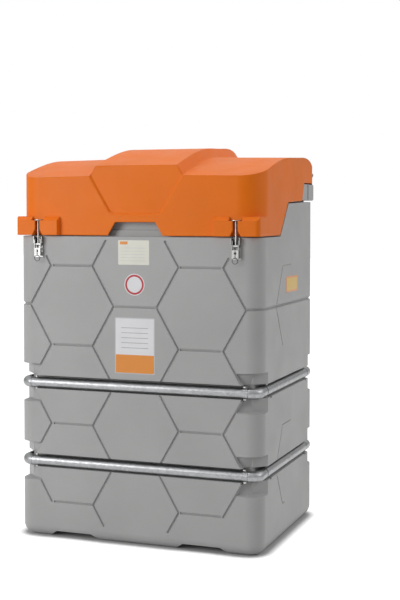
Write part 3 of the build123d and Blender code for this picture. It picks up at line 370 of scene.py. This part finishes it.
def crevice_tint(nodes, links, tint, reach, darkest):
    """Colour that darkens in narrow corners: painted shade, standing in for the shadow that gathers
    there.
    """
    light = openness(nodes, reach, samples=8)
    light = remap(nodes, links, light, CREVICE_RANGE, (darkest, 1.0))
    product = nodes.new("ShaderNodeMix")
    product.data_type = "RGBA"
    product.blend_type = "MULTIPLY"
    product.inputs["Factor"].default_value = 1.0
    links.new(tint, product.inputs[COLOUR_A])
    links.new(light, product.inputs[COLOUR_B])
    return product.outputs[COLOUR_RESULT]


def bright_metal(name, colour, roughness, lay=(1, 1, 1), dulling=0.12, darkest=0.5):
    """Metal with a fine lay of scratches, duller patches and painted shade in its corners."""
    material, nodes, links, shader = node_tree(name)
    scratches = noise(nodes, links, place(nodes, links, lay), scale=260.0, detail=3.0, roughness=0.6)
    patches = noise(nodes, links, place(nodes, links), scale=25.0, detail=4.0)
    tint = remap(nodes, links, patches, PATCHES, WHOLE)
    tint = blend_colours(nodes, links, tint, colour, shade(colour, 0.82))
    # Painted shade: the colour darkens in narrow corners, where shadow gathers.
    tint = crevice_tint(nodes, links, tint, CREVICE_REACH, darkest)
    links.new(tint, shader.inputs["Base Color"])
    shader.inputs["Metallic"].default_value = 1.0
    fine = remap(nodes, links, scratches, SPREAD, (roughness - 0.04, roughness + 0.05))
    dull = remap(nodes, links, patches, PATCHES, (0.0, dulling))
    links.new(combine(nodes, links, "ADD", fine, dull), shader.inputs["Roughness"])
    links.new(bump(nodes, links, scratches, 0.00004), shader.inputs["Normal"])
    return material


def printed_film(name, colour, roughness=0.32):
    """Face of a sticker: even colour with a trace of unevenness."""
    material, nodes, links, shader = node_tree(name)
    where = place(nodes, links)
    clouds = noise(nodes, links, where, scale=18.0, detail=3.0)
    tint = remap(nodes, links, clouds, SPREAD, WHOLE)
    tint = blend_colours(nodes, links, tint, shade(colour, 0.95), colour)
    links.new(tint, shader.inputs["Base Color"])
    gloss = remap(nodes, links, clouds, SPREAD, (roughness - 0.04, roughness + 0.05))
    links.new(gloss, shader.inputs["Roughness"])
    relief = bump(nodes, links, noise(nodes, links, where, scale=40.0, detail=2.0), 0.00012)
    links.new(relief, shader.inputs["Normal"])
    return material


def make_plastics():
    """Moulded plastics, by the record's slot."""
    return {
        "grey_plastic": moulded_plastic("moulded_grey", (0.430, 0.429, 0.427), 0.47, shine=0.35),
        "orange_plastic": moulded_plastic(
            "moulded_orange", (0.86, 0.180, 0.004), 0.45, wear=0.08, soft_edge=0.008, shine=0.22
        ),
        "natural_plastic": milky_plastic("milky_plastic", (0.74, 0.73, 0.67)),
        "black_plastic": moulded_plastic("black_plastic", (0.030, 0.030, 0.032), 0.40, wave=0.0001),
        "red_plastic": moulded_plastic("red_plastic", (0.55, 0.045, 0.035), 0.35, wave=0.0001),
    }


def make_metals():
    """Metals, by the record's slot, and the darker wire of the pull rings."""
    upright_lay = (1, 1, 0.12)
    return {
        "galvanised_steel": galvanised("galvanised_tube"),
        "bolt_steel": bright_metal("zinc_plated", (0.60, 0.60, 0.58), 0.30),
        # The stainless sheet gets the deepest painted shade in its corners.
        "stainless_steel": bright_metal(
            "stainless_sheet", (0.44, 0.44, 0.43), 0.29, upright_lay, darkest=0.06
        ),
        "ring_wire": bright_metal("ring_wire", (0.10, 0.10, 0.10), 0.30, darkest=0.3),
        "funnel_steel": bright_metal("pickled_sheet", (0.58, 0.58, 0.57), 0.40, dulling=0.2),
        "brass": bright_metal("turned_brass", (0.72, 0.54, 0.24), 0.26),
    }


def make_prints():
    """Faces of labels, badge, sign and dial."""
    return {
        "white_print": printed_film("print_white", (0.80, 0.80, 0.82)),
        "cream_print": printed_film("print_cream", (0.78, 0.77, 0.68)),
        "grey_print": printed_film("print_grey", (0.36, 0.36, 0.37)),
        "pale_grey_print": printed_film("print_pale_grey", (0.58, 0.59, 0.61)),
        "orange_print": printed_film("print_orange", (0.80, 0.28, 0.035)),
        "red_print": printed_film("print_red", (0.50, 0.02, 0.035)),
        "yellow_print": printed_film("print_yellow", (0.74, 0.46, 0.05)),
        "dial_white": printed_film("dial_white", (0.80, 0.80, 0.78), 0.25),
    }


def dress_frame(frame, materials):
    """Gives every node of the frame the material of its slot."""
    for subpart in frame["record"]["subparts"]:
        node = subpart["node"]
        look = "ring_wire" if "pull_ring" in node else subpart["material_slot"]
        for slot in frame["nodes"][node].material_slots:
            slot.material = materials[look]


def finish_mesh(name, mesh_data, material):
    """Object from a bmesh."""
    mesh = bpy.data.meshes.new(name)
    bmesh.ops.recalc_face_normals(mesh_data, faces=mesh_data.faces)
    mesh_data.to_mesh(mesh)
    mesh_data.free()
    mesh.materials.append(material)
    piece = bpy.data.objects.new(name, mesh)
    bpy.context.scene.collection.objects.link(piece)
    return piece


def corner_outline(size, radius, steps=6):
    """Points of a rectangle with rounded corners, round the middle."""
    width, height = size
    points = []
    for quarter, (side, up) in enumerate(((1, 1), (-1, 1), (-1, -1), (1, -1))):
        middle = (side * (width / 2 - radius), up * (height / 2 - radius))
        for step in range(steps + 1):
            angle = (quarter + step / steps) * pi / 2
            points.append((middle[0] + radius * cos(angle), middle[1] + radius * sin(angle)))
    return points


def ring_outline(radius, steps=64):
    """Points of a circle round the middle."""
    angles = [2 * pi * step / steps for step in range(steps)]
    return [(radius * cos(angle), radius * sin(angle)) for angle in angles]


def add_loop(mesh, outline, origin, right, up):
    """Vertices of an outline that is drawn round origin."""
    return [mesh.verts.new(origin + right * x + up * y) for x, y in outline]


def join_loops(mesh, first, second):
    """Band of faces between two closed loops with as many vertices."""
    count = len(first)
    for k in range(count):
        n = (k + 1) % count
        mesh.faces.new((first[k], first[n], second[n], second[k]))


def thin_plate(name, outline, origin, right, outward, thickness, material, hole=None):
    """Flat plate on a wall. Its outline is drawn round origin, with right and up along the wall."""
    right = Vector(right)
    outward = Vector(outward)
    up = outward.cross(right)
    levels = (Vector(origin), Vector(origin) + outward * thickness)
    mesh = bmesh.new()
    outer = [add_loop(mesh, outline, level, right, up) for level in levels]
    join_loops(mesh, *outer)
    if hole:
        inner = [add_loop(mesh, hole, level, right, up) for level in levels]
        join_loops(mesh, *inner)
        for outer_loop, inner_loop in zip(outer, inner):
            join_loops(mesh, outer_loop, inner_loop)
    else:
        for outer_loop in outer:
            mesh.faces.new(outer_loop)
    return finish_mesh(name, mesh, material)


def front_print(name, middle, outline, layer, material, hole=None):
    """Print on the front wall: middle is x and z, layer is the number of prints that it lies on."""
    wall = node_box("outer_container")[0].y
    origin = (middle[0], wall - layer * STICKER, middle[1])
    plate = thin_plate(name, outline, origin, RIGHTWARDS, FORWARDS, STICKER, material, hole)
    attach(plate, "container")


def add_upper_label(materials):
    """Cream label with a plain orange field near the corner and ruled lines."""
    x, width = middle_and_length(UPPER_LABEL_X)
    z, height = middle_and_length(UPPER_LABEL_Z)
    outline = corner_outline((width, height), UPPER_LABEL_CORNER)
    front_print("upper_label", (x, z), outline, 0, materials["cream_print"])

    left = UPPER_LABEL_X[0]
    top = UPPER_LABEL_Z[1]
    middle = (left + UPPER_FIELD_INSET[0], top - UPPER_FIELD_INSET[1])
    outline = corner_outline(UPPER_FIELD_SIZE, UPPER_FIELD_CORNER)
    front_print("upper_label_field", middle, outline, 1, materials["orange_print"])

    outline = corner_outline(UPPER_RULE_SIZE, UPPER_RULE_CORNER)
    rule_x = left + UPPER_RULE_INSET[0] + UPPER_RULE_SIZE[0] / 2
    for row in range(UPPER_RULES):
        middle = (rule_x, top - UPPER_RULE_INSET[1] - UPPER_RULE_STEP * row)
        front_print(f"upper_label_rule_{row + 1}", middle, outline, 1, materials["pale_grey_print"])


def add_round_sign(materials):
    """Plain white disc with a red rim."""
    front_print("round_sign", SIGN_MIDDLE, ring_outline(SIGN_RADIUS), 0, materials["white_print"])
    outer = ring_outline(SIGN_RIM_OUTER)
    inner = ring_outline(SIGN_RIM_INNER)
    front_print("round_sign_rim", SIGN_MIDDLE, outer, 1, materials["red_print"], inner)


def add_lower_label(materials):
    """White label with a pale border, a plain orange field below and ruled lines above."""
    x, width = middle_and_length(LOWER_LABEL_X)
    z, height = middle_and_length(LOWER_LABEL_Z)
    outline = corner_outline((width, height), LOWER_LABEL_CORNER)
    front_print("lower_label", (x, z), outline, 0, materials["pale_grey_print"])

    width -= 2 * LOWER_FACE_BORDER
    height -= 2 * LOWER_FACE_BORDER
    outline = corner_outline((width, height), LOWER_FACE_CORNER)
    front_print("lower_label_face", (x, z), outline, 1, materials["white_print"])

    bottom, top = LOWER_LABEL_Z
    outline = corner_outline((width, LOWER_FIELD_HEIGHT), LOWER_FACE_CORNER)
    middle = (x, bottom + LOWER_FIELD_MIDDLE)
    front_print("lower_label_field", middle, outline, 2, materials["orange_print"])

    outline = corner_outline(LOWER_RULE_SIZE, LOWER_RULE_CORNER)
    for row in range(LOWER_RULES):
        middle = (x, top - LOWER_RULE_TOP - LOWER_RULE_STEP * row)
        front_print(f"lower_label_rule_{row + 1}", middle, outline, 2, materials["grey_print"])


def side_print(name, size, corner, layer, material):
    """Print on the right side, round the middle of the badge."""
    wall = node_box("outer_container")[1].x
    y, _ = middle_and_length(SIDE_BADGE_Y)
    z, _ = middle_and_length(SIDE_BADGE_Z)
    origin = (wall + layer * STICKER, y, z)
    outline = corner_outline(size, corner)
    plate = thin_plate(name, outline, origin, BACKWARDS, RIGHTWARDS, STICKER, material)
    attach(plate, "container")


def add_side_badge(materials):
    """Orange plate with a plain yellow field on the right side."""
    _, length = middle_and_length(SIDE_BADGE_Y)
    _, height = middle_and_length(SIDE_BADGE_Z)
    side_print("side_badge", (length, height), SIDE_BADGE_CORNER, 0, materials["orange_print"])
    length -= 2 * SIDE_FIELD_BORDER[0]
    height -= 2 * SIDE_FIELD_BORDER[1]
    side_print("side_badge_field", (length, height), SIDE_FIELD_CORNER, 1, materials["yellow_print"])


def add_head(name, spot, outward, size, body, materials):
    """Low domed head of a stainless rivet or screw that stands on a wall and rides on a body."""
    radius, height = size
    outward = Vector(outward)
    right = Vector(UPWARDS).cross(outward)
    up = outward.cross(right)
    mesh = bmesh.new()
    loops = []
    for share, lift in HEAD_PROFILE:
        origin = Vector(spot) + outward * lift * height
        outline = ring_outline(radius * share, HEAD_STEPS)
        loops.append(add_loop(mesh, outline, origin, right, up))
    for low, high in zip(loops, loops[1:]):
        join_loops(mesh, low, high)
    mesh.faces.new(loops[0])
    mesh.faces.new(loops[-1])
    head = finish_mesh(name, mesh, materials["stainless_steel"])
    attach(head, body)


def add_latch_rivets(side, materials):
    """Four rivets in the plate of a latch base."""
    low, high = node_box(f"latch_base_{side}")
    middle = (low.x + high.x) / 2
    face = high.y - LATCH_PLATE
    places = [(across, below) for below in RIVETS_BELOW_TOP for across in RIVETS_ACROSS]
    for k, (across, below) in enumerate(places):
        spot = (middle + across, face, high.z - below)
        name = f"latch_rivet_{side}_{k + 1}"
        add_head(name, spot, FORWARDS, LATCH_RIVET, "container", materials)


def add_hinge_screws(side, materials):
    """Screws in the lower leaf and in the upper leaf of a hinge."""
    low, high = node_box(f"hinge_lower_leaf_{side}")
    middle = (low.x + high.x) / 2
    for k, across in enumerate(HINGE_SCREWS_ACROSS):
        spot = (middle + across, low.y + LOWER_LEAF, low.z + HINGE_SCREWS_ABOVE_FOOT)
        name = f"hinge_screw_{side}_{k + 1}"
        add_head(name, spot, BACKWARDS, HINGE_SCREW, "container", materials)
    low, high = node_box(f"hinge_upper_leaf_{side}")
    for k, across in enumerate(LID_SCREWS_ACROSS):
        spot = (middle + across, low.y + UPPER_LEAF, high.z - LID_SCREWS_BELOW_TOP)
        name = f"lid_screw_{side}_{k + 1}"
        add_head(name, spot, BACKWARDS, LID_SCREW, "lid", materials)


def add_lever_slots(materials):
    """Painted shade of slots in the web of each latch lever, above and below its round hole: thin black
    plates stand where the slots' shaded insides would show.
    """
    for side in ("left", "right"):
        low, high = node_box(f"latch_lever_{side}")
        for part, heights in LEVER_SLOTS.items():
            above, length = middle_and_length(heights)
            # Painted shade: a thin black plate where the slot's shaded inside would show.
            slot = thin_plate(
                f"lever_slot_shade_{part}_{side}",
                corner_outline((LEVER_SLOT_WIDTH, length), LEVER_SLOT_CORNER),
                ((low.x + high.x) / 2, low.y, low.z + above),
                RIGHTWARDS,
                FORWARDS,
                STICKER / 2,
                materials["black_plastic"],
            )
            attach(slot, f"lever_{side}")


def dial_print(name, outline, angle, distance, layer, material):
    """Print on the head of the level gauge, at a distance from its middle and turned outwards."""
    low, high = node_box("level_gauge")
    middle = (low + high) / 2
    middle.z = high.z + layer * STICKER
    outward = Vector((cos(radians(angle)), sin(radians(angle)), 0))
    spot = middle + outward * distance
    piece = thin_plate(name, outline, spot, outward, UPWARDS, STICKER, material)
    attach(piece, "container")
    return piece


def add_gauge_dial(materials):
    """White dial with plain marks and a needle on the head of the level gauge."""
    dial_print("gauge_dial", ring_outline(DIAL_RADIUS), 0, 0, 0, materials["dial_white"])
    outline = corner_outline(DIAL_MARK_SIZE, DIAL_MARK_CORNER, steps=2)
    for k in range(DIAL_MARKS):
        angle = DIAL_START - DIAL_TURN * k / (DIAL_MARKS - 1)
        name = f"gauge_mark_{k + 1}"
        mark = dial_print(name, outline, angle, DIAL_MARK_DISTANCE, 1, materials["black_plastic"])
    outline = corner_outline(NEEDLE_SIZE, NEEDLE_CORNER, steps=3)
    dial_print("gauge_needle", outline, NEEDLE_ANGLE, NEEDLE_DISTANCE, 2, materials["red_print"])


def seen_directly(nodes, links):
    """One for rays from the camera, a reflection or clear material, zero for the light on surfaces."""
    rays = nodes.new("ShaderNodeLightPath")
    seen = rays.outputs["Is Camera Ray"]
    for kind in ("Is Glossy Ray", "Is Transmission Ray"):
        seen = combine(nodes, links, "MAXIMUM", seen, rays.outputs[kind])
    return seen


def studio_material(name):
    """White ground that shows as white to the camera, with a painted shadow where it touches the object.
    """
    material, nodes, links, shader = node_tree(name)
    shader.inputs["Base Color"].default_value = (FLOOR_GREY, FLOOR_GREY, FLOOR_GREY, 1)
    shader.inputs["Roughness"].default_value = FLOOR_ROUGHNESS
    # Painted shadow: the glow that the camera sees fades where the object hems the ground in.
    ground = openness(nodes, CONTACT_REACH, samples=12)
    ground = remap(nodes, links, ground, CONTACT_RANGE, (0.0, FLOOR_GLOW))
    shown = combine(nodes, links, "MULTIPLY", seen_directly(nodes, links), ground)
    light = nodes.new("ShaderNodeEmission")
    links.new(shown, light.inputs["Strength"])
    both = nodes.new("ShaderNodeAddShader")
    output = next(node for node in nodes if node.type == "OUTPUT_MATERIAL")
    links.new(shader.outputs[0], both.inputs[0])
    links.new(light.outputs[0], both.inputs[1])
    links.new(both.outputs[0], output.inputs["Surface"])
    return material


def add_floor():
    """Pale floor, wide enough to end out of sight."""
    mesh = bmesh.new()
    half = FLOOR_HALF
    corners = ((-half, -half), (half, -half), (half, half), (-half, half))
    mesh.faces.new([mesh.verts.new((x, y, 0.0)) for x, y in corners])
    finish_mesh("floor", mesh, studio_material("studio_floor"))


def set_world():
    """Even ambient light; white to the camera, and in reflections paler towards the top."""
    world = bpy.data.worlds.new("studio")
    bpy.context.scene.world = world
    world.use_nodes = True
    nodes = world.node_tree.nodes
    links = world.node_tree.links
    background = next(node for node in nodes if node.type == "BACKGROUND")
    background.inputs["Color"].default_value = (1, 1, 1, 1)
    direction = nodes.new("ShaderNodeTexCoord")
    height = nodes.new("ShaderNodeSeparateXYZ")
    links.new(direction.outputs["Generated"], height.inputs[0])
    sky = remap(nodes, links, height.outputs["Z"], HORIZON_RISE, (HORIZON, 1.0))
    mirrored = combine(nodes, links, "MULTIPLY", sky, seen_directly(nodes, links))
    rays = nodes.new("ShaderNodeLightPath")
    even = remap(nodes, links, rays.outputs["Is Camera Ray"], WHOLE, (AMBIENT, 1.0))
    links.new(combine(nodes, links, "MAXIMUM", mirrored, even), background.inputs["Strength"])


def add_lights():
    """Soft boxes to the front left, to the right and overhead."""
    for name, (spot, width, power) in SOFT_BOXES.items():
        lamp = bpy.data.lights.new(name, "AREA")
        lamp.shape = "RECTANGLE"
        lamp.size = width
        lamp.size_y = width
        lamp.energy = power
        light = bpy.data.objects.new(name, lamp)
        direction = Vector(LIGHT_TARGET) - Vector(spot)
        light.rotation_euler = direction.to_track_quat("-Z", "Y").to_euler()
        light.location = spot
        bpy.context.scene.collection.objects.link(light)


def add_camera():
    """Camera at the photograph's place, tilted slightly down and shifted."""
    data = bpy.data.cameras.new("camera")
    camera = bpy.data.objects.new("camera", data)
    forward = cos(CAMERA_PITCH)
    view = Vector((-sin(CAMERA_YAW) * forward, cos(CAMERA_YAW) * forward, -sin(CAMERA_PITCH)))
    right = Vector((cos(CAMERA_YAW), sin(CAMERA_YAW), 0))
    up = right.cross(view)
    turn = Matrix((right, up, -view)).transposed()
    camera.matrix_world = Matrix.Translation(CAMERA_PLACE) @ turn.to_4x4()
    data.sensor_width = SENSOR_WIDTH
    data.lens = CAMERA_FOCUS * SENSOR_WIDTH / FRAME_HEIGHT
    data.shift_y = CAMERA_SHIFT / FRAME_HEIGHT
    bpy.context.scene.collection.objects.link(camera)
    bpy.context.scene.camera = camera


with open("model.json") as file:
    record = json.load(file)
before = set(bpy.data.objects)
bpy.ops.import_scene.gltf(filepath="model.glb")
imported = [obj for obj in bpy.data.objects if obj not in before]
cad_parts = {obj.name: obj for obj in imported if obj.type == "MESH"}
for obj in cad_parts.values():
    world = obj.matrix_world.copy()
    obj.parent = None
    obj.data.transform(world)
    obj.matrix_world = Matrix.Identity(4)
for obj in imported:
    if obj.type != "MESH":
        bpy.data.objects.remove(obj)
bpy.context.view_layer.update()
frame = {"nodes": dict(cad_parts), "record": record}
materials = {**make_plastics(), **make_metals(), **make_prints()}
dress_frame(frame, materials)
add_upper_label(materials)
add_round_sign(materials)
add_lower_label(materials)
add_side_badge(materials)
for side in ("left", "right"):
    add_latch_rivets(side, materials)
    add_hinge_screws(side, materials)
add_lever_slots(materials)
add_gauge_dial(materials)
add_floor()
set_world()
add_lights()
add_camera()
bpy.context.scene.view_settings.view_transform = "Standard"
